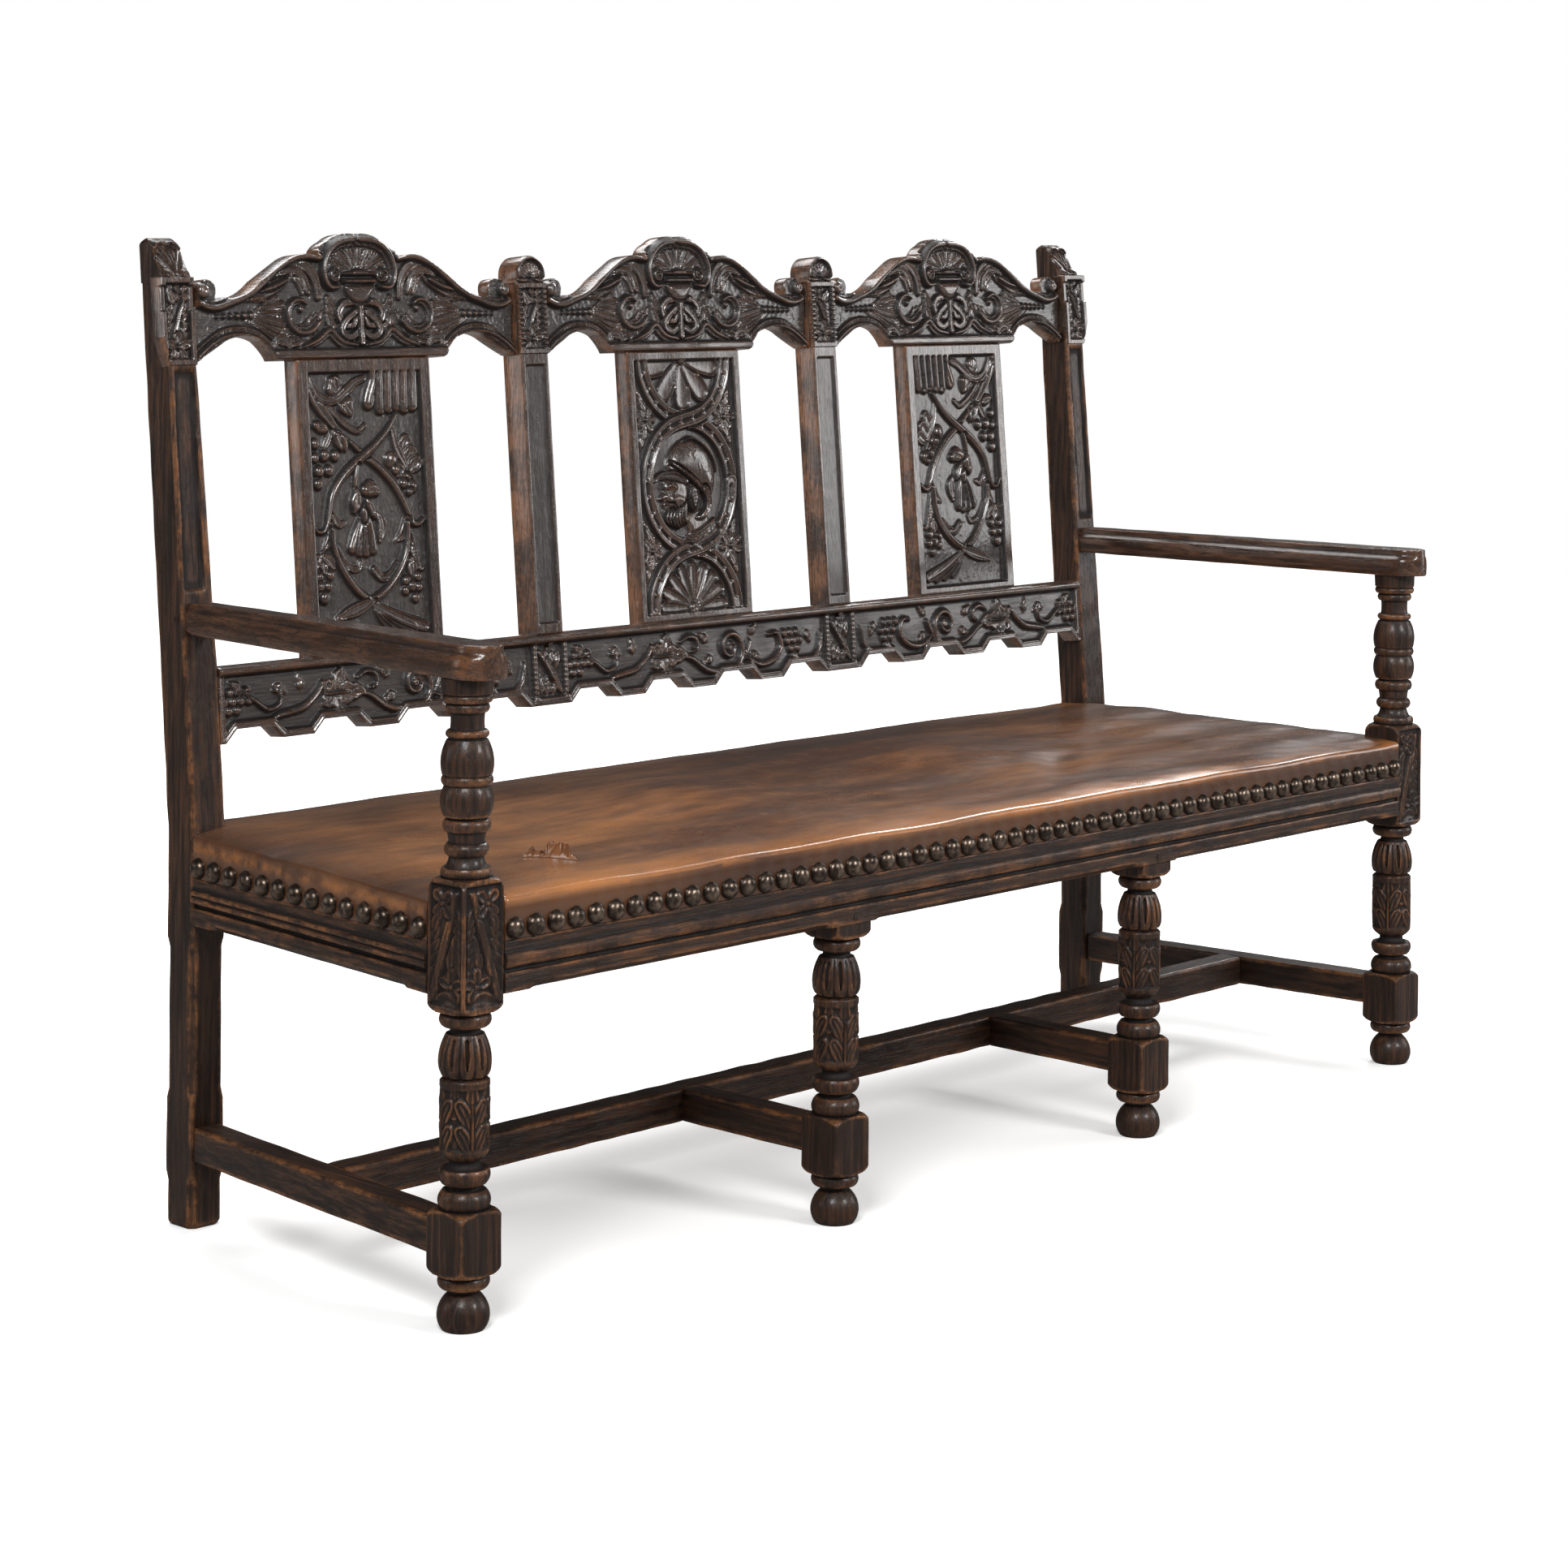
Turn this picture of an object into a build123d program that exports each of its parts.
from build123d import *
import math
import os

# A carved oak settle: three bays of carved splats between two raked back posts, four turned front
# legs, open arms on turned supports, an H of stretchers and a nailed leather seat.
# Millimetres. x runs along the settle, y to its back and z up. The pieces are drawn with y = 0 on
# the axis of the front legs, and the whole settle is moved to its own middle at the end.

# Fits
fit = 0.15              # clearance round a tenon, tongue or pin
lay = 0.3               # clearance round leather, stuffing and webbing
overrun = 20            # how far a cutting solid runs past what it cuts

# Plan of the settle
leg_span = 1690         # between the axes of the outer front legs
back_narrowing = 97     # the seat is this much narrower over the back posts than over the legs
seat_depth = 488        # from the axis of the front legs to the face of the back posts

# Front legs
leg_square = 57         # side of the square blocks
foot_height = 57        # from the floor to the lower block
lower_block = 68        # height of the block that takes the stretchers
mid_turning = 203       # turned length between the two blocks
seat_block = 139        # height of the block that takes the seat rails
support_length = 205    # turned arm support above the seat block
shoulder = 10           # height of the rounded shoulders of a block
top_pin = 22            # diameter of the round tenon into the arm
top_pin_length = 20
leg_tenon_height = 50   # tenon of a middle leg up into the front rail
leg_tenon = 12

# Back posts
post_width = 46
post_depth = 48
post_head_width = 38    # the posts taper on their inner faces towards the head
rake = 5.25             # lean of the back in degrees
knee_rise = 25          # the lean starts this much above the seat rails
post_chamfer = 8
foot_chamfer_end = 65   # the arrises are left square at the stretcher joint, between these heights
knuckle_end = 144
rail_chamfer_end = 326
foot_chamfer_start = 9
head_block_overhang = 10
head_block_depth = 20
head_block_proud = 3
head_rise = 98          # height of the square head block
finial_rise = 48        # leaf finial above it
finial_slope = 29       # how far the finial leans back over its height
post_panel_bottom = 268
post_panel_margin = 5

# Arms
arm_thickness = 36
arm_top_step = 8        # the flat top stands on the body by this much
arm_step_width = 6
arm_front_width = 62
arm_back_width = 36
arm_overhang = 15       # centre of the rounded front end, forward of the leg axis
arm_tenon_width = 14
arm_tenon_height = 18
arm_tenon_length = 24

# Seat rails
rail_bottom = 345.5
rail_top = 430
rail_thickness = 34
rail_lower_band = 20.5
rail_groove = 5
rail_roll = 16
rail_band_proud = 1
rail_groove_depth = 4
rail_roll_proud = 4
rail_chamfer = 5
rail_chamfer_stop = 40
rail_tenon_height = 50
rail_tenon = 10
rail_tenon_length = 26
back_rail_tenon_length = 20
back_rail_setback = 8   # the back rail lies behind the face of the posts
bearer_width = 45
bearer_height = 40
bearer_tenon = 12

# Stretchers
stretcher_height = 39
stretcher_bottom = 77
stretcher_width = 36
stretcher_inset = 3.5
stretcher_tenon = 12
stretcher_tenon_height = 24
stretcher_tenon_length = 20

# Carved back, measured up the slope from the knee
back_rail_foot = 90     # lowest edge of the lower back rail
lower_rail_height = 88
scallop_rise = 15.5     # the high flats of the scalloped edge over the low ones
scallop_pitch = 128
scallop_high = 52
scallop_slope = 16
scallops_per_bay = 4
lower_rail_roll = 12    # rounded ledge along the top of the lower rail
lower_rail_roll_proud = 5
muntin_centre = 266
muntin_width = 45
muntin_depth = 34
muntin_head_width = 48
muntin_head_rise = 90
muntin_cap_rise = 34
muntin_panel_margin = 6
panel_sink = 4
crest_bottom = 527
crest_height = 150
crest_thickness = 28
crest_setback = 2
lower_rail_thickness = 28
splat_width = 204
splat_thickness = 24
splat_frame = 15
splat_frame_bottom = 9
splat_sink = 6
tongue = 10             # thickness of the tongues of boards and muntins
tongue_length = 9
crest_tongue_height = 46
lower_rail_tenon_height = 60
muntin_tenon_width = 26

# Leather seat
leather = 2.5
leather_front_edge = 445
leather_back_edge = 452
leather_crown = 15      # rise of the middle over the edges
leather_hem = 400
web = 2
web_width = 62
cross_webs = 13
long_webs = 5
nail_head = 24
nail_dome = 9
nail_shank = 3
nail_length = 14
nail_height = 412
nail_clear = 0.1        # the heads stand this far off the leather
nail_end = 12.5         # first nail from the face of the block
nail_pitch = 28.7
side_nail_pitch = 33.4
tack_head = 9
tack_dome = 2
tack_length = 12
tack_pitch = 53
peg = 8
peg_stand = 0.8         # the pegs stand a little proud

# Turned outlines, from the bottom up. Each row is a length, the radius where it starts, half way and
# where it ends: lengths as shares of the turning, radii as shares of half the leg's square.
foot_shares = [(0.67, 0.77, 0.965, 0.58), (0.09, 0.56, 0.54, 0.56), (0.24, 0.84, 0.96, 0.84)]
mid_shares = [
    (0.097, 0.86, 0.97, 0.79), (0.030, 0.62, 0.57, 0.62), (0.079, 0.80, 0.95, 0.88),
    (0.045, 0.70, 0.56, 0.60), (0.054, 0.62, 0.84, 0.91), (0.347, 0.91, 0.94, 0.96),
    (0.015, 0.96, 0.90, 0.76), (0.010, 0.74, 0.73, 0.74), (0.213, 0.84, 0.97, 0.70),
    (0.036, 0.62, 0.55, 0.58), (0.074, 0.80, 0.955, 0.80),
]
support_shares = [
    (0.049, 0.90, 0.955, 0.90), (0.059, 0.80, 0.68, 0.64), (0.063, 0.70, 0.82, 0.70),
    (0.059, 0.66, 0.68, 0.72), (0.059, 0.80, 0.88, 0.80), (0.015, 0.72, 0.71, 0.72),
    (0.156, 0.84, 0.98, 0.84), (0.054, 0.86, 0.955, 0.86), (0.176, 0.92, 0.965, 0.76),
    (0.010, 0.70, 0.69, 0.70), (0.039, 0.72, 0.80, 0.72), (0.088, 0.64, 0.62, 0.64),
    (0.049, 0.72, 0.81, 0.72), (0.044, 0.84, 0.93, 0.84), (0.080, 0.93, 0.945, 0.955),
]

# Right half of a crest board from the top of its cap down to the middle of its bottom edge. Each row
# is a middle and an end point of an arc, or an end point alone: shares of the half length and height.
crest_top_shares = [
    ((0.095, 0.996), (0.165, 0.945)), ((0.225, 0.885), (0.245, 0.805)), ((0.34, 0.835), (0.43, 0.795)),
    (None, (0.60, 0.625)), ((0.69, 0.525), (0.78, 0.495)), (None, (0.845, 0.495)),
    ((0.845, 0.60), (0.895, 0.64)), ((0.955, 0.59), (0.955, 0.49)), (None, (0.96, 0.43)),
    (None, (1.0, 0.425)),
]
crest_arch_shares = [
    (None, (0.975, 0.0)), ((0.885, 0.075), (0.80, 0.155)), ((0.70, 0.195), (0.60, 0.155)),
    ((0.55, 0.075), (0.52, 0.0)),
]
# What the turning tool leaves of a square block: its end as a share of half the leg's square, and how
# far out its rounded shoulder bends, as a share of the corner that it rounds.
block_neck_share = 0.93
shoulder_bend_share = 0.7
# The sloped foot of a post's head block, as a share of the block's height.
head_foot_share = 1 / 3
# Where the crown of the leather is measured, as shares of half the seat's length.
crown_place_shares = (-1, -0.5, 0, 0.5, 1)
# Half of the leaf finial of a back post seen from the side: shares of its slope and rise.
finial_shares = [((0.25, 0.45), (0.93, 0.76)), ((1.03, 0.95), (1.25, 1.0))]

# Sizes that follow
half_leg = leg_square / 2
half_span = leg_span / 2
block_inner = half_span - half_leg
block_outer = half_span + half_leg
half_back = block_outer - back_narrowing / 2
mid_leg_x = leg_span / 6
knee_height = rail_top + knee_rise
seat_block_bottom = foot_height + lower_block + mid_turning
seat_block_top = seat_block_bottom + seat_block
arm_bottom = seat_block_top + support_length
post_inner = half_back - post_width
head_inner = half_back - post_head_width
lower_rail_top = back_rail_foot + lower_rail_height
post_head = crest_bottom - panel_sink
bay_centre = (muntin_centre + muntin_width / 2 + head_inner) / 2
splay = math.degrees(math.atan2(block_outer - half_back, seat_depth - half_leg))
splay_rate = (block_outer - half_back) / (seat_depth - half_leg)
rail_face = -half_leg
back_rail_rear = seat_depth + back_rail_setback + rail_thickness


def bar(x0, x1, y0, y1, z0, z1):
    """A block between two corners."""
    block = Box(x1 - x0, y1 - y0, z1 - z0, align=(Align.MIN, Align.MIN, Align.MIN))
    return Pos(x0, y0, z0) * block


def slab(points, z0, z1):
    """A plan outline, as (x, y) points, raised between two heights."""
    face = make_face(Polyline([(x, y, z0) for x, y in points], close=True))
    return extrude(face, amount=z1 - z0, dir=(0, 0, 1))


def outline_face(start, moves):
    """A face in x and z through arcs (middle, end) and lines (None, end), closed back to its start."""
    edges = []
    here = start
    for middle, end in moves + [(None, start)]:
        if end == here:
            continue
        if middle is None:
            edges.append(Line((here[0], 0, here[1]), (end[0], 0, end[1])))
        else:
            places = [(x, 0, z) for x, z in (here, middle, end)]
            edges.append(ThreePointArc(*places))
        here = end
    return make_face(edges)


def board(face, front, thickness):
    """A face in x and z made into a board whose front lies at y = front."""
    return extrude(Pos(0, front, 0) * face, amount=thickness, dir=(0, 1, 0))


def leaned(shape):
    """Place a piece of the back, drawn upright from the knee, on the lean of the posts."""
    return Pos(0, seat_depth, knee_height) * Rot(X=-rake) * shape


def flipped(shape):
    """The same piece at the other end of the settle."""
    return mirror(shape, about=Plane.YZ)


def turned(z0, length, rows):
    """A turned length from rows of shares."""
    total = sum(row[0] for row in rows)
    moves = []
    z = z0
    for share, start, middle, end in rows:
        rise = length * share / total
        moves.append((None, (start * half_leg, z)))
        moves.append(((middle * half_leg, z + rise / 2), (end * half_leg, z + rise)))
        z = z + rise
    moves.append((None, (0, z)))
    return revolve(outline_face((0, z0), moves), axis=Axis.Z)


def leg_block(z0, z1, bottom_shoulder, top_shoulder):
    """A square block whose corners are rounded off by the turning tool at its shoulders."""
    neck = half_leg * block_neck_share
    corner = half_leg * math.sqrt(2)
    bend = neck + (corner - neck) * shoulder_bend_share
    low_bend = z0 + bottom_shoulder * (1 - shoulder_bend_share)
    moves = [(None, (neck, z0)), ((bend, low_bend), (corner, z0 + bottom_shoulder))]
    moves.append((None, (corner, z1 - top_shoulder)))
    if top_shoulder:
        high_bend = z1 - top_shoulder * (1 - shoulder_bend_share)
        moves.append(((bend, high_bend), (neck, z1)))
    moves.append((None, (0, z1)))
    turning = revolve(outline_face((0, z0), moves), axis=Axis.Z)
    return turning & bar(-half_leg, half_leg, -half_leg, half_leg, z0, z1)


def chamfer_cut(x, y, z0, z1, size):
    """A cutter that takes an upright arris off to a flat of the given size."""
    side = size * math.sqrt(2)
    return Pos(x, y, (z0 + z1) / 2) * Rot(Z=45) * Box(side, side, z1 - z0)


def pin(start, direction, length, diameter):
    """A round peg from its outer end along a direction."""
    place = Plane(origin=start, z_dir=direction)
    return extrude(place * Circle(diameter / 2), amount=length)


def side_line(y, inset):
    """x of the outer side of the seat at a given y, on the right."""
    return block_outer - (y - half_leg) * splay_rate - inset


def beside(y, z, inset):
    """A place on the splayed right side whose own -y points outwards."""
    return Pos(side_line(y, inset), y, z) * Rot(Z=90 + splay)


# Legs
leg_foot = turned(0, foot_height, foot_shares)
leg_lower = leg_block(foot_height, foot_height + lower_block, shoulder, shoulder)
leg_middle = turned(foot_height + lower_block, mid_turning, mid_shares)
leg_base = leg_foot + leg_lower + leg_middle
leg_head = leg_block(seat_block_bottom, seat_block_top, shoulder, shoulder)
leg_support = turned(seat_block_top, support_length, support_shares)
leg_pin = Pos(0, 0, arm_bottom + top_pin_length / 2) * Cylinder(top_pin / 2, top_pin_length)
outer_leg = leg_base + leg_head + leg_support + leg_pin

mid_block = leg_block(seat_block_bottom, rail_bottom, shoulder, 0)
mid_tenon_y = rail_face + leather + rail_thickness / 2
mid_tenon_top = rail_bottom + leg_tenon_height
mid_tenon = bar(
    -half_leg + shoulder, half_leg - shoulder, mid_tenon_y - leg_tenon / 2, mid_tenon_y + leg_tenon / 2,
    rail_bottom, mid_tenon_top,
)
middle_leg = leg_base + mid_block + mid_tenon

leg_right = Pos(half_span, 0, 0) * outer_leg
leg_mid_right = Pos(mid_leg_x, 0, 0) * middle_leg


# Back posts
def post():
    """The right back post: straight below the knee, raked above, tapered on its inner face."""
    low = bar(post_inner, half_back, seat_depth, seat_depth + post_depth, 0, knee_height)
    head_top = crest_bottom + head_rise
    taper = [
        (None, (half_back, 0)), (None, (half_back, head_top + finial_rise)),
        (None, (head_inner, head_top + finial_rise)), (None, (head_inner, crest_bottom)),
        (None, (post_inner, lower_rail_top)), (None, (post_inner, -overrun)),
    ]
    high = board(outline_face((half_back, -overrun), taper), 0, post_depth)
    high = high - finial_cut(head_top)
    high = leaned(high)
    # the raked length starts at the knee, so the back of the bend is filled by the straight length
    high = high & bar(0, block_outer, 0, 2 * seat_depth, knee_height, 3 * knee_height)
    low = low + high
    return low + leaned(head_block(head_top))


def finial_cut(head_top):
    """What is sawn away in front of the finial, in side view."""
    rise = finial_rise
    slope = finial_slope
    points = [((slope * m[0], head_top + rise * m[1]), (slope * e[0], head_top + rise * e[1]))
              for m, e in finial_shares]
    moves = points + [(None, (slope * finial_shares[1][1][0], head_top + rise + overrun))]
    moves.append((None, (-overrun, head_top + rise + overrun)))
    moves.append((None, (-overrun, head_top)))
    face = outline_face((0, head_top), moves)
    cutter = extrude(Rot(Z=90) * face, amount=3 * post_width, dir=(1, 0, 0))
    return Pos(half_back - post_width - overrun, 0, 0) * cutter


def head_block(head_top):
    """The square carved block on the head of a back post, with a sloped foot on its outer side."""
    bottom = post_head
    outer = half_back + head_block_overhang
    moves = [
        (None, (outer, bottom + head_rise * head_foot_share)), (None, (outer, head_top)),
        (None, (head_inner, head_top)), (None, (head_inner, bottom)),
    ]
    return board(outline_face((half_back, bottom), moves), -head_block_proud, head_block_depth)


post_body = post()
for corner_x in (post_inner, half_back):
    for corner_y in (seat_depth, seat_depth + post_depth):
        for low, high in ((foot_chamfer_start, foot_chamfer_end), (knuckle_end, rail_chamfer_end)):
            post_body = post_body - chamfer_cut(corner_x, corner_y, low, high, post_chamfer)
post_panel_top = post_head - post_panel_margin
post_panel = bar(
    head_inner + post_panel_margin, half_back - post_panel_margin, -overrun, panel_sink,
    post_panel_bottom, post_panel_top,
)
post_body = post_body - leaned(post_panel)


# Arms
def arm():
    """The right arm: round at the front, tapered to the post, with a stepped flat top."""
    tip_y = -arm_overhang
    post_x = half_back - post_width / 2
    half_front = arm_front_width / 2
    half_rear = arm_back_width / 2
    rear_y = seat_depth + post_depth + overrun
    lean_x = half_span + (post_x - half_span) * (rear_y / (seat_depth + post_depth / 2))
    edges = [
        Line((half_span + half_front, tip_y), (lean_x + half_rear, rear_y)),
        Line((lean_x + half_rear, rear_y), (lean_x - half_rear, rear_y)),
        Line((lean_x - half_rear, rear_y), (half_span - half_front, tip_y)),
        ThreePointArc(
            (half_span - half_front, tip_y), (half_span, tip_y - half_front), (half_span + half_front, tip_y)
        ),
    ]
    plan = make_face(edges)
    body = Pos(0, 0, arm_bottom) * extrude(plan, amount=arm_thickness - arm_top_step, dir=(0, 0, 1))
    top_plan = offset(plan, amount=-arm_step_width)
    step_z = arm_bottom + arm_thickness - arm_top_step
    top = Pos(0, 0, step_z) * extrude(top_plan, amount=arm_top_step, dir=(0, 0, 1))
    whole = body + top
    behind = bar(0, block_outer, 0, 3 * post_depth, -overrun, lower_rail_top + seat_depth)
    return whole - leaned(behind)


arm_v = (arm_bottom + arm_thickness / 2 - knee_height) / math.cos(math.radians(rake))
arm_post_x = half_back - post_width / 2
arm_tenon_box = (
    arm_post_x - arm_tenon_width / 2, arm_post_x + arm_tenon_width / 2, -tongue, arm_tenon_length,
    arm_v - arm_tenon_height / 2, arm_v + arm_tenon_height / 2,
)


def grown(box, size):
    """A box with the same size added all round."""
    return [edge + (size if place % 2 else -size) for place, edge in enumerate(box)]


arm_tenon_solid = leaned(bar(*arm_tenon_box))
arm_right = arm() + arm_tenon_solid
arm_right = arm_right - Pos(half_span, 0, arm_bottom) * Cylinder(
    top_pin / 2 + fit, 2 * (top_pin_length + fit)
)
post_body = post_body - leaned(bar(*grown(arm_tenon_box, fit)))


# Seat rails
def moulded_rail(length):
    """A seat rail along x whose moulded face is at y = 0 and faces -y."""
    band = rail_bottom + rail_lower_band
    roll = band + rail_groove
    top = roll + rail_roll
    moves = [
        (None, (-rail_band_proud, band)), (None, (rail_groove_depth, band)),
        (None, (rail_groove_depth, roll)),
        ((-rail_roll_proud, (roll + top) / 2), (rail_band_proud, top)),
        (None, (0, top)), (None, (0, leather_hem)), (None, (leather, leather_hem)),
        (None, (leather, rail_top)), (None, (leather + rail_thickness, rail_top)),
        (None, (leather + rail_thickness, rail_bottom)),
    ]
    section = outline_face((-rail_band_proud, rail_bottom), moves)
    body = Pos(-length / 2, 0, 0) * extrude(Rot(Z=90) * section, amount=length, dir=(1, 0, 0))
    return body


def rail_edge_cut(x0, x1):
    """The stopped chamfer along the lower edge of a moulded rail."""
    side = rail_chamfer * math.sqrt(2)
    return Pos((x0 + x1) / 2, -rail_band_proud, rail_bottom) * Rot(X=45) * Box(x1 - x0, side, side)


front_rail = moulded_rail(2 * block_inner)
bay_edges = [-block_inner, -mid_leg_x, mid_leg_x, block_inner]
for left, right in zip(bay_edges, bay_edges[1:]):
    front_rail = front_rail - rail_edge_cut(left + rail_chamfer_stop, right - rail_chamfer_stop)
front_rail = Pos(0, rail_face, 0) * front_rail
rail_tenon_z = (rail_top - rail_tenon_height - lay, rail_top - lay)
front_tenon_y = rail_face + leather + rail_thickness / 2
front_tenon_box = (
    block_inner - rail_tenon, block_inner + rail_tenon_length,
    front_tenon_y - rail_tenon / 2, front_tenon_y + rail_tenon / 2, *rail_tenon_z,
)
front_tenon = bar(*front_tenon_box)
front_rail = front_rail + front_tenon + flipped(front_tenon)
leg_right = leg_right - bar(*grown(front_tenon_box, fit))

side_length = math.hypot(seat_depth - half_leg, block_outer - half_back)
side_middle = (seat_depth + half_leg) / 2
side_rail = moulded_rail(side_length + 2 * overrun)
side_chamfer = side_length / 2 - rail_chamfer_stop
side_rail = side_rail - rail_edge_cut(-side_chamfer, side_chamfer)
side_rail = beside(side_middle, 0, 0) * side_rail
side_rail = side_rail & bar(0, 2 * half_span, half_leg, seat_depth, 0, rail_top + overrun)


def side_tenons(y_front, y_back, inset, tenon, z0, z1, length):
    """The two tenons of a splayed side piece, as boxes along y."""
    front_x = side_line(y_front, inset)
    back_x = side_line(y_back, inset)
    front = (front_x - tenon / 2, front_x + tenon / 2, y_front - length, y_front + tenon, z0, z1)
    back = (back_x - tenon / 2, back_x + tenon / 2, y_back - tenon, y_back + length, z0, z1)
    return front, back


side_tenon_boxes = side_tenons(
    half_leg, seat_depth, leather + rail_thickness / 2, rail_tenon, *rail_tenon_z, rail_tenon_length
)
side_rail = side_rail + bar(*side_tenon_boxes[0]) + bar(*side_tenon_boxes[1])
leg_right = leg_right - bar(*grown(side_tenon_boxes[0], fit))
post_body = post_body - bar(*grown(side_tenon_boxes[1], fit))

back_rail_front = seat_depth + back_rail_setback
back_rail = bar(-post_inner, post_inner, back_rail_front, back_rail_rear, rail_bottom + shoulder, rail_top)
back_tenon_y = back_rail_front + rail_thickness / 2
back_tenon_box = (
    post_inner - rail_tenon, post_inner + back_rail_tenon_length,
    back_tenon_y - rail_tenon / 2, back_tenon_y + rail_tenon / 2, *rail_tenon_z,
)
back_tenon = bar(*back_tenon_box)
back_rail = back_rail + back_tenon + flipped(back_tenon)
post_body = post_body - bar(*grown(back_tenon_box, fit))

# the middle legs are tenoned up into the front rail
for leg_x in (-mid_leg_x, mid_leg_x):
    mortise = bar(
        leg_x - half_leg + shoulder - fit, leg_x + half_leg - shoulder + fit,
        mid_tenon_y - leg_tenon / 2 - fit, mid_tenon_y + leg_tenon / 2 + fit,
        rail_bottom - overrun, mid_tenon_top + fit,
    )
    front_rail = front_rail - mortise

# Bearers across the seat under the webbing
bearer_front = rail_face + leather + rail_thickness
bearer_z = (rail_top - bearer_height - web, rail_top - web)
bearer = bar(
    mid_leg_x - bearer_width / 2, mid_leg_x + bearer_width / 2, bearer_front, back_rail_front, *bearer_z
)
bearer_stub = (
    mid_leg_x - bearer_width / 4, mid_leg_x + bearer_width / 4, bearer_front - bearer_tenon,
    back_rail_front + bearer_tenon, bearer_z[0] + bearer_tenon, bearer_z[1] - bearer_tenon,
)
bearer = bearer + bar(*bearer_stub)
bearer_hole = bar(*grown(bearer_stub, fit))
for hole in (bearer_hole, flipped(bearer_hole)):
    front_rail = front_rail - hole
    back_rail = back_rail - hole

# Stretchers
stretcher_top = stretcher_bottom + stretcher_height
stretcher_outline = [
    (side_line(half_leg, stretcher_inset), half_leg), (side_line(seat_depth, stretcher_inset), seat_depth),
    (side_line(seat_depth, stretcher_inset + stretcher_width), seat_depth),
    (side_line(half_leg, stretcher_inset + stretcher_width), half_leg),
]
side_stretcher = slab(stretcher_outline, stretcher_bottom, stretcher_top)
stretcher_z = (
    stretcher_bottom + (stretcher_height - stretcher_tenon_height) / 2,
    stretcher_top - (stretcher_height - stretcher_tenon_height) / 2,
)
stretcher_boxes = side_tenons(
    half_leg, seat_depth, stretcher_inset + stretcher_width / 2, stretcher_tenon, *stretcher_z,
    stretcher_tenon_length,
)
long_y = (half_leg + seat_depth) / 2 - rail_tenon
long_inner = side_line(long_y, stretcher_inset + stretcher_width)
long_stretcher = bar(
    -half_span, half_span, long_y - stretcher_width / 2, long_y + stretcher_width / 2,
    stretcher_bottom, stretcher_top,
)
long_stretcher = long_stretcher - side_stretcher - flipped(side_stretcher)
long_stretcher = long_stretcher & bar(
    -long_inner - shoulder, long_inner + shoulder, 0, seat_depth, 0, knee_height
)
long_tenon_box = (
    long_inner - stretcher_tenon, long_inner + stretcher_tenon_length,
    long_y - stretcher_tenon / 2, long_y + stretcher_tenon / 2, *stretcher_z,
)
long_tenon = bar(*long_tenon_box)
long_stretcher = long_stretcher + long_tenon + flipped(long_tenon)
side_stretcher = side_stretcher - bar(*grown(long_tenon_box, fit))
side_stretcher = side_stretcher + bar(*stretcher_boxes[0]) + bar(*stretcher_boxes[1])
leg_right = leg_right - bar(*grown(stretcher_boxes[0], fit))
post_body = post_body - bar(*grown(stretcher_boxes[1], fit))

short_stretcher = bar(
    mid_leg_x - stretcher_width / 2, mid_leg_x + stretcher_width / 2, half_leg,
    long_y - stretcher_width / 2, stretcher_bottom, stretcher_top,
)
short_tenon_box = (
    mid_leg_x - stretcher_tenon / 2, mid_leg_x + stretcher_tenon / 2,
    half_leg - stretcher_tenon_length, long_y - stretcher_width / 2 + stretcher_tenon_length, *stretcher_z,
)
short_stretcher = short_stretcher + bar(*short_tenon_box)
short_mortise = bar(*grown(short_tenon_box, fit))
leg_mid_right = leg_mid_right - short_mortise
long_stretcher = long_stretcher - short_mortise - flipped(short_mortise)


# Carved back
def scalloped_edge(half_length):
    """Lower edge of the lower back rail, as points from its right end to its left end."""
    low = back_rail_foot
    high = back_rail_foot + scallop_rise
    points = []
    for centre in (-bay_centre, 0, bay_centre):
        for step in range(scallops_per_bay):
            x = centre + (step - (scallops_per_bay - 1) / 2) * scallop_pitch
            points.append((x - scallop_high / 2 - scallop_slope, low))
            points.append((x - scallop_high / 2, high))
            points.append((x + scallop_high / 2, high))
            points.append((x + scallop_high / 2 + scallop_slope, low))
    return [(half_length, low)] + points[::-1] + [(-half_length, low)]


def lower_rail():
    """The long carved rail between the posts, with its rounded ledge."""
    edge = [(None, point) for point in scalloped_edge(post_inner)[1:]]
    moves = edge + [(None, (-post_inner, lower_rail_top)), (None, (post_inner, lower_rail_top))]
    body = board(outline_face((post_inner, back_rail_foot), moves), 0, lower_rail_thickness)
    ledge_bottom = lower_rail_top - lower_rail_roll
    ledge = outline_face(
        (0, ledge_bottom),
        [((-lower_rail_roll_proud, lower_rail_top - lower_rail_roll / 2), (0, lower_rail_top)),
         (None, (tongue, lower_rail_top)), (None, (tongue, ledge_bottom))],
    )
    roll = Pos(-post_inner, 0, 0) * extrude(Rot(Z=90) * ledge, amount=2 * post_inner, dir=(1, 0, 0))
    return body + roll


lower_back_rail = lower_rail()
lower_tenon_y = lower_rail_thickness / 2
lower_tenon_top = lower_rail_top - shoulder
lower_tenon_box = (
    post_inner - tongue, post_inner + stretcher_tenon_length, lower_tenon_y - tongue / 2,
    lower_tenon_y + tongue / 2, lower_tenon_top - lower_rail_tenon_height, lower_tenon_top,
)
lower_tenon = bar(*lower_tenon_box)
lower_back_rail = lower_back_rail + lower_tenon + flipped(lower_tenon)
post_body = post_body - leaned(bar(*grown(lower_tenon_box, fit)))


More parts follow.
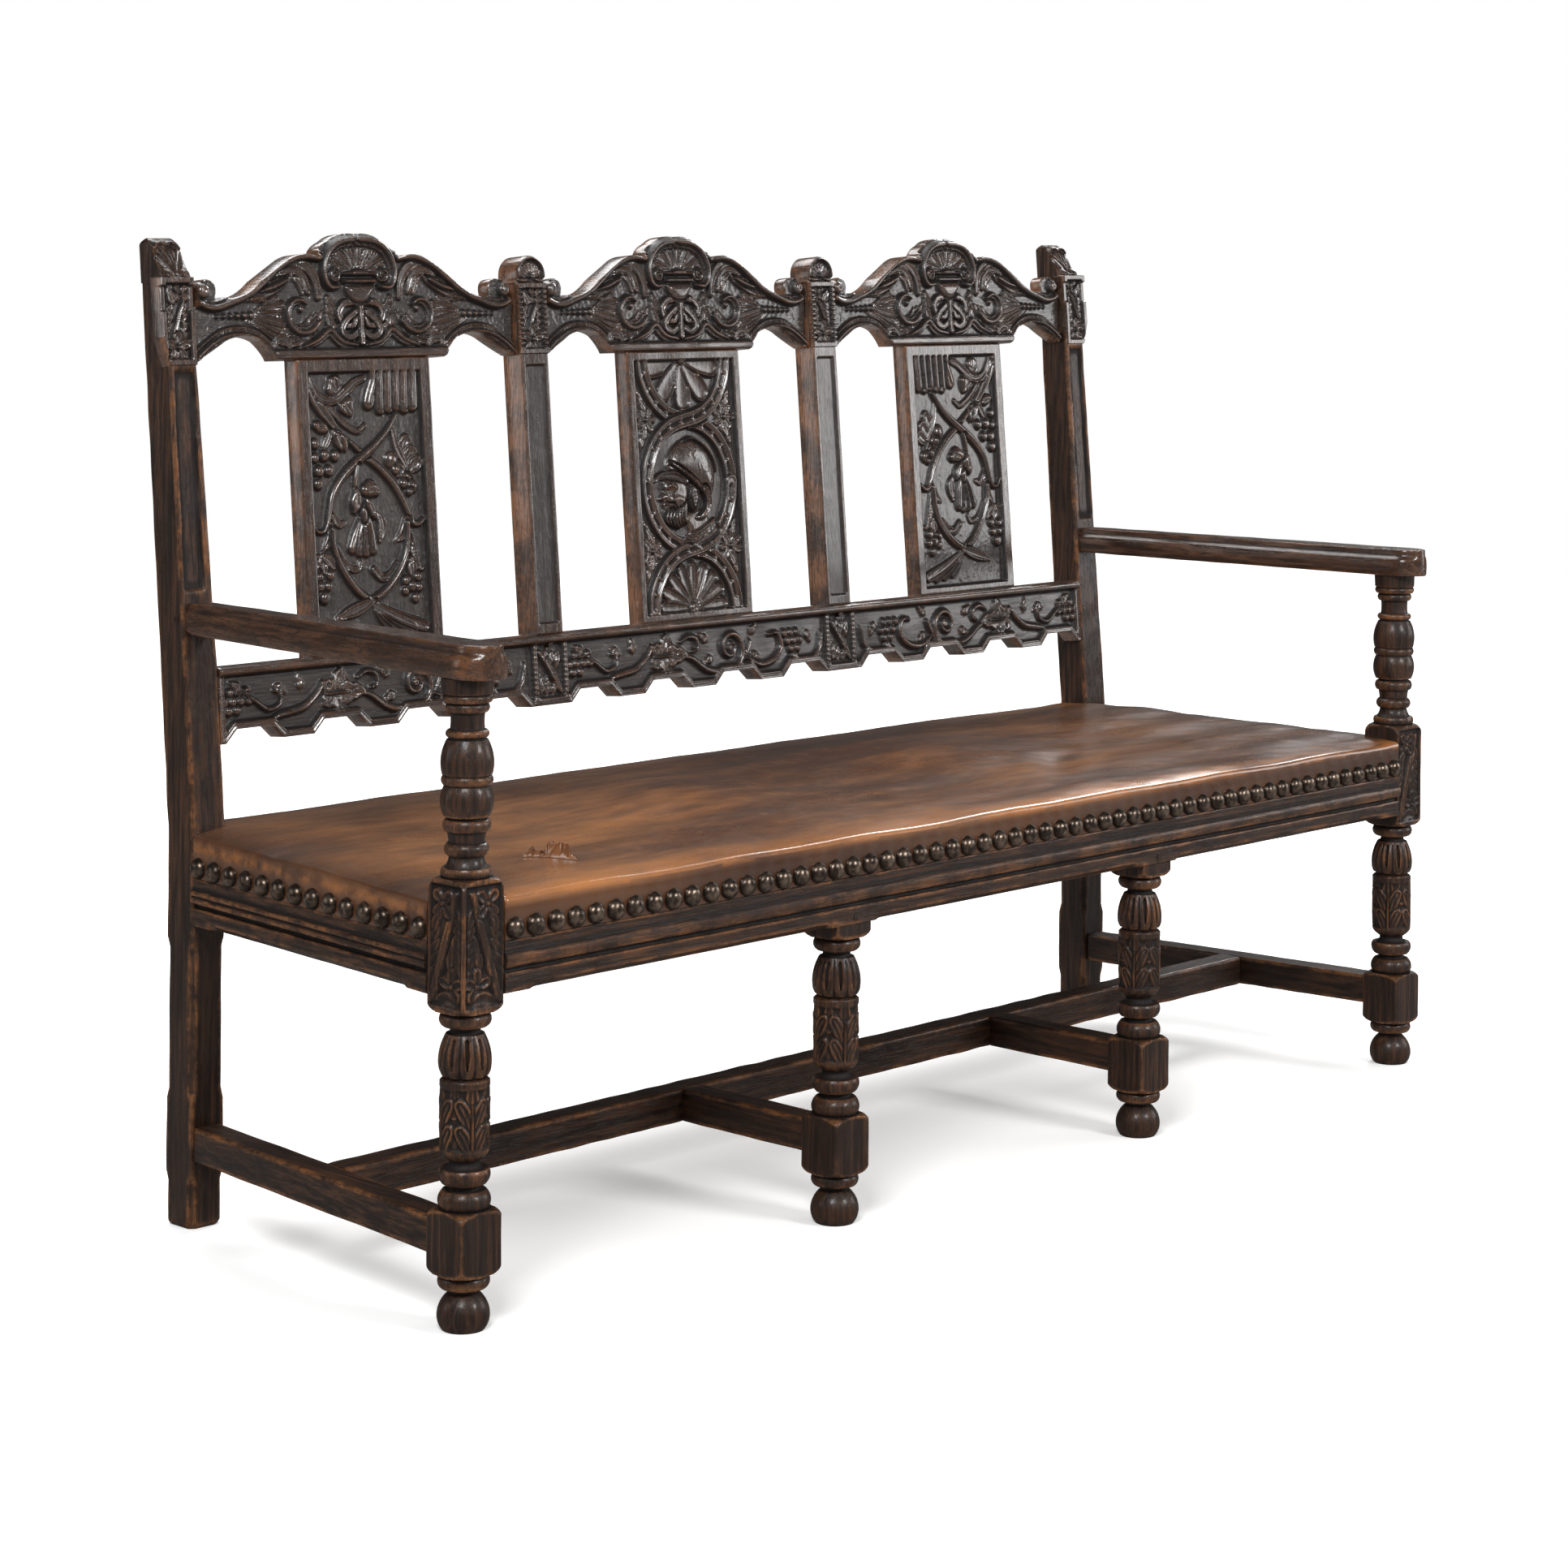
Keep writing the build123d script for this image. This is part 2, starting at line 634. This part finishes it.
def muntin():
    """An upright between two bays with a square carved head and a round shell cap above it."""
    left = muntin_centre - muntin_width / 2
    right = muntin_centre + muntin_width / 2
    head_top = crest_bottom + muntin_head_rise
    cap_radius = muntin_head_width / 2
    spring = head_top + muntin_cap_rise - cap_radius
    shaft = bar(left, right, 0, muntin_depth, lower_rail_top, head_top)
    block = bar(
        muntin_centre - muntin_head_width / 2, muntin_centre + muntin_head_width / 2,
        -head_block_proud, crest_setback, crest_bottom, head_top,
    )
    cap_moves = [
        (None, (muntin_centre + cap_radius, spring)),
        ((muntin_centre, spring + cap_radius), (muntin_centre - cap_radius, spring)),
        (None, (muntin_centre - cap_radius, head_top)),
    ]
    cap = board(outline_face((muntin_centre + cap_radius, head_top), cap_moves), 0, muntin_depth)
    panel = bar(
        left + muntin_panel_margin, right - muntin_panel_margin, -overrun, panel_sink,
        lower_rail_top + 2 * muntin_panel_margin, crest_bottom - 2 * muntin_panel_margin,
    )
    return shaft + block + cap - panel


tenon_y = crest_thickness / 2
muntin_right = muntin()
muntin_tenon_box = (
    muntin_centre - muntin_tenon_width / 2, muntin_centre + muntin_tenon_width / 2,
    tenon_y - tongue / 2, tenon_y + tongue / 2, lower_rail_top - muntin_tenon_width,
    lower_rail_top + tongue,
)
muntin_right = muntin_right + bar(*muntin_tenon_box)
muntin_mortise = bar(*grown(muntin_tenon_box, fit))
lower_back_rail = lower_back_rail - muntin_mortise - flipped(muntin_mortise)


def crest(half_length):
    """A crest board about x = 0: cap, two humps, two ear scrolls and two arches below."""
    def at(point):
        return point and (point[0] * half_length, crest_bottom + point[1] * crest_height)

    moves = [(at(middle), at(end)) for middle, end in crest_top_shares + crest_arch_shares]
    moves.append((None, at((0, 0))))
    face = outline_face(at((0, 1)), moves)
    half = board(face, crest_setback, crest_thickness)
    return half + mirror(half, about=Plane.YZ)


def crest_tongue(end_x):
    """The tongue of a crest board across its end."""
    bottom = crest_bottom + shoulder
    return (
        end_x - tongue_length, end_x + tongue_length, crest_setback + tenon_y - tongue / 2,
        crest_setback + tenon_y + tongue / 2, bottom, bottom + crest_tongue_height,
    )


muntin_faces = (muntin_centre - muntin_width / 2, muntin_centre + muntin_width / 2)
crest_centre = crest(muntin_faces[0])
crest_right = Pos(bay_centre, 0, 0) * crest((head_inner - muntin_faces[1]) / 2)
centre_tongue = crest_tongue(muntin_faces[0])
inner_tongue = crest_tongue(muntin_faces[1])
outer_tongue = crest_tongue(head_inner)
crest_centre = crest_centre + bar(*centre_tongue) + flipped(bar(*centre_tongue))
crest_right = crest_right + bar(*inner_tongue) + bar(*outer_tongue)
muntin_right = muntin_right - bar(*grown(centre_tongue, fit)) - bar(*grown(inner_tongue, fit))
post_body = post_body - leaned(bar(*grown(outer_tongue, fit)))


def splat():
    """A back splat about x = 0: a framed board with a sunk face and a tongue at each end."""
    half = splat_width / 2
    front = (crest_thickness - splat_thickness) / 2 + crest_setback
    body = bar(-half, half, front, front + splat_thickness, lower_rail_top, crest_bottom)
    sunk = bar(
        -half + splat_frame, half - splat_frame, -overrun, front + splat_sink,
        lower_rail_top + splat_frame_bottom, crest_bottom - splat_frame,
    )
    return body - sunk


splat_tongue_boxes = [
    (-splat_width / 2 + shoulder, splat_width / 2 - shoulder, tenon_y - tongue / 2 + crest_setback,
     tenon_y + tongue / 2 + crest_setback, end - tongue_length, end + tongue_length)
    for end in (lower_rail_top, crest_bottom)
]
splat_centre = splat() + bar(*splat_tongue_boxes[0]) + bar(*splat_tongue_boxes[1])
splat_right = Pos(bay_centre, 0, 0) * splat_centre
grooves = [bar(*grown(box, fit)) for box in splat_tongue_boxes]
crest_centre = crest_centre - grooves[1]
crest_right = crest_right - Pos(bay_centre, 0, 0) * grooves[1]
for x in (-bay_centre, 0, bay_centre):
    lower_back_rail = lower_back_rail - Pos(x, 0, 0) * grooves[0]


# Webbing, stuffing and leather
def seat_plan(inset):
    """The splayed outline of the seat, drawn in from the face of the rails."""
    front = rail_face + inset
    back = back_rail_rear + leather - inset
    right = [(side_line(front, inset), front), (side_line(back, inset), back)]
    return right + [(-x, y) for x, y in right[::-1]]


def crowned(inset, bottom):
    """The seat between its plan and its crowned top, less the corners of the legs and posts."""
    sections = []
    reach = block_outer + overrun
    front = rail_face
    back = back_rail_rear + leather
    for place_share in crown_place_shares:
        rise = leather_crown * (1 - place_share ** 2)
        middle_z = (leather_front_edge + leather_back_edge) / 2 + rise - inset
        x = place_share * reach
        edges = [
            Line((x, front, bottom), (x, front, leather_front_edge - inset)),
            ThreePointArc(
                (x, front, leather_front_edge - inset), (x, (front + back) / 2, middle_z + lay),
                (x, back, leather_back_edge - inset),
            ),
            Line((x, back, leather_back_edge - inset), (x, back, bottom)),
            Line((x, back, bottom), (x, front, bottom)),
        ]
        sections.append(make_face(edges))
    body = loft(sections) & slab(seat_plan(inset), bottom, 2 * knee_height)
    for side in (-1, 1):
        at_leg = sorted((side * (block_inner - lay), side * (block_outer + overrun)))
        at_post = sorted((side * (post_inner - lay), side * (block_outer + overrun)))
        body = body - bar(*at_leg, -seat_depth, half_leg + lay, 0, 2 * knee_height)
        body = body - bar(*at_post, seat_depth - lay, 2 * seat_depth, 0, 2 * knee_height)
    return body


web_top = rail_top + web
cross_reach = post_inner - web_width
webbing_cross = []
for count in range(cross_webs):
    x = -cross_reach + 2 * cross_reach * count / (cross_webs - 1)
    webbing_cross.append(
        bar(x - web_width / 2, x + web_width / 2, bearer_front - rail_thickness / 2,
            back_rail_front + rail_thickness / 2, rail_top, web_top)
    )
webbing_long = []
for count in range(long_webs):
    y = half_leg + (seat_depth - half_leg) * (count + 1 / 2) / long_webs
    reach = side_line(y + web_width / 2, leather + rail_thickness / 2)
    webbing_long.append(bar(-reach, reach, y - web_width / 2, y + web_width / 2, web_top, web_top + web))

seat_pad = crowned(leather + lay, web_top + web + lay)
leather_skin = crowned(0, leather_hem + lay) - crowned(leather, leather_hem - overrun)


# Nails, tacks and pegs
def nail(head, dome, shank, length):
    """A domed nail whose head sits on y = 0 and faces -y."""
    rim = head / 2
    ball = (rim ** 2 + dome ** 2) / (2 * dome)
    half_way = rim / 2
    bend = (half_way, math.sqrt(ball ** 2 - half_way ** 2) - ball + dome)
    cap = revolve(outline_face((0, 0), [(None, (rim, 0)), (bend, (0, dome))]), axis=Axis.Z)
    return Rot(X=90) * (cap + Pos(0, 0, -length / 2) * Cylinder(shank / 2, length))


big_nail = nail(nail_head, nail_dome, nail_shank, nail_length)
hole = Rot(X=90) * Cylinder(nail_shank / 2 + fit, 2 * (nail_length + fit))
first_nail = block_inner - nail_end
front_nails = round(2 * first_nail / nail_pitch) + 1
front_places = [
    Pos(-first_nail + 2 * first_nail * count / (front_nails - 1), rail_face - nail_clear, nail_height)
    for count in range(front_nails)
]
side_start = half_leg + nail_end
side_run = seat_depth - half_leg - 2 * nail_end
side_nails = round(side_run / side_nail_pitch) + 1
side_places = [
    beside(side_start + side_run * count / (side_nails - 1), nail_height, -nail_clear)
    for count in range(side_nails)
]
nails_front = [place * big_nail for place in front_places]
nails_right = [place * big_nail for place in side_places]
front_holes = [place * hole for place in front_places]
side_holes = [place * hole for place in side_places]
tack = Rot(Z=180) * nail(tack_head, tack_dome, nail_shank / 2, tack_length)
tack_hole = Rot(X=90) * Cylinder(nail_shank / 4 + fit, 2 * (tack_length + fit))
tack_reach = post_inner - nail_end
tack_face = back_rail_rear + leather + nail_clear
back_tacks = round(2 * tack_reach / tack_pitch) + 1
tack_places = [
    Pos(-tack_reach + 2 * tack_reach * count / (back_tacks - 1), tack_face, nail_height)
    for count in range(back_tacks)
]
tacks_back = [place * tack for place in tack_places]
tack_holes = [place * tack_hole for place in tack_places]
front_rail = front_rail - front_holes
side_rail = side_rail - side_holes
back_rail = back_rail - tack_holes
leather_skin = leather_skin - front_holes - side_holes - tack_holes
leather_skin = leather_skin - [flipped(shape) for shape in side_holes]

rail_middle = (rail_tenon_z[0] + rail_tenon_z[1]) / 2
stretcher_middle = (stretcher_bottom + stretcher_top) / 2
mid_peg_z = rail_bottom + peg
leg_peg_length = half_leg + rail_tenon
side_peg_y = half_leg - rail_tenon_length / 2
# each peg: where it starts, which way it is driven and how deep
seat_peg_spots = [
    ((block_inner + rail_tenon_length / 2, half_leg, rail_middle), (0, -1, 0), leg_peg_length + rail_tenon),
    ((block_inner, side_peg_y, rail_middle - peg), (1, 0, 0), side_tenon_boxes[0][1] - block_inner),
    ((post_inner, seat_depth + rail_tenon_length / 2, rail_middle), (1, 0, 0), post_width - rail_tenon),
]
base_peg_spots = [
    ((block_inner, half_leg - stretcher_tenon_length / 2, stretcher_middle), (1, 0, 0), leg_peg_length),
    ((post_inner, seat_depth + stretcher_tenon_length / 2, stretcher_middle), (1, 0, 0),
     post_width - stretcher_tenon),
]


def driven(spots, clearance):
    """The pegs, or with a clearance their holes."""
    return [pin(start, way, depth + clearance, peg + 2 * clearance) for start, way, depth in spots]


mid_peg_spot = [((mid_leg_x, rail_face - rail_band_proud - peg_stand, mid_peg_z), (0, 1, 0), rail_thickness)]
back_peg_spots = [
    ((post_inner + stretcher_tenon_length / 2, -peg_stand, (lower_tenon_box[4] + lower_tenon_box[5]) / 2),
     (0, 1, 0), lower_rail_thickness),
    ((muntin_centre, -peg_stand, lower_rail_top - muntin_tenon_width / 2), (0, 1, 0),
     lower_rail_thickness - tongue / 2),
]
arm_peg_spot = [
    ((half_back + peg_stand, arm_tenon_length / 2, arm_v), (-1, 0, 0), post_width - tongue),
]
seat_pegs = driven(seat_peg_spots, 0)
base_pegs = driven(base_peg_spots, 0)
mid_pegs = driven(mid_peg_spot, 0)
back_pegs = [leaned(shape) for shape in driven(back_peg_spots, 0)]
arm_pegs = [leaned(shape) for shape in driven(arm_peg_spot, 0)]
seat_peg_holes = driven(seat_peg_spots, fit)
base_peg_holes = driven(base_peg_spots, fit)
back_peg_holes = driven(back_peg_spots, fit)
arm_peg_holes = [leaned(shape) for shape in driven(arm_peg_spot, fit)]
mid_peg_holes = driven(mid_peg_spot, fit)

leg_right = leg_right - seat_peg_holes[0] - seat_peg_holes[1] - base_peg_holes[0]
post_body = post_body - seat_peg_holes[2] - base_peg_holes[1] - leaned(back_peg_holes[0]) - arm_peg_holes
front_rail = front_rail - seat_peg_holes[0] - flipped(seat_peg_holes[0])
front_rail = front_rail - mid_peg_holes - flipped(mid_peg_holes[0])
leg_mid_right = leg_mid_right - mid_peg_holes
side_rail = side_rail - seat_peg_holes[1] - seat_peg_holes[2]
side_stretcher = side_stretcher - base_peg_holes
arm_right = arm_right - arm_peg_holes
lower_back_rail = lower_back_rail - back_peg_holes - flipped(back_peg_holes[0]) - flipped(back_peg_holes[1])
muntin_right = muntin_right - back_peg_holes[1]


def pair(shapes):
    """A list of solids and the same solids at the other end."""
    return shapes + [flipped(shape) for shape in shapes]


nodes = {
    "post_right": post_body, "post_left": flipped(post_body),
    "muntin_right": leaned(muntin_right), "muntin_left": leaned(flipped(muntin_right)),
    "crest_centre": leaned(crest_centre), "crest_right": leaned(crest_right),
    "crest_left": leaned(flipped(crest_right)), "lower_back_rail": leaned(lower_back_rail),
    "splat_centre": leaned(splat_centre), "splat_right": leaned(splat_right),
    "splat_left": leaned(flipped(splat_right)),
    "arm_right": arm_right, "arm_left": flipped(arm_right),
    "leg_front_right": leg_right, "leg_front_left": flipped(leg_right),
    "leg_mid_right": leg_mid_right, "leg_mid_left": flipped(leg_mid_right),
    "seat_rail_front": front_rail, "seat_rail_back": back_rail,
    "seat_rail_right": side_rail, "seat_rail_left": flipped(side_rail),
    "seat_bearer_right": bearer, "seat_bearer_left": flipped(bearer),
    "stretcher_right": side_stretcher, "stretcher_left": flipped(side_stretcher),
    "stretcher_long": long_stretcher,
    "stretcher_short_right": short_stretcher, "stretcher_short_left": flipped(short_stretcher),
    "webbing_cross": webbing_cross, "webbing_long": webbing_long,
    "seat_pad": seat_pad, "seat_leather": leather_skin,
    "nails_front": nails_front, "nails_right": nails_right,
    "nails_left": [flipped(shape) for shape in nails_right], "tacks_back": tacks_back,
    "pegs_seat": pair(seat_pegs), "pegs_base": pair(base_pegs), "pegs_mid_legs": pair(mid_pegs),
    "pegs_back": pair(back_pegs), "pegs_arms": pair(arm_pegs),
}

# The origin is the middle of the settle's box, on the floor
front_most = -arm_overhang - arm_front_width / 2
top_slope = crest_bottom + head_rise + finial_rise
back_most = (
    seat_depth + top_slope * math.sin(math.radians(rake)) + post_depth * math.cos(math.radians(rake))
)
home = Pos(0, -(front_most + back_most) / 2, 0)

os.makedirs("parts", exist_ok=True)
for name, shape in nodes.items():
    solids = shape if isinstance(shape, list) else [shape]
    placed = [home * solid for piece in solids for solid in piece.solids()]
    whole = placed[0] if len(placed) == 1 else Compound(children=placed)
    export_step(whole, f"parts/{name}.step")
    print(name, "solids", len(placed))
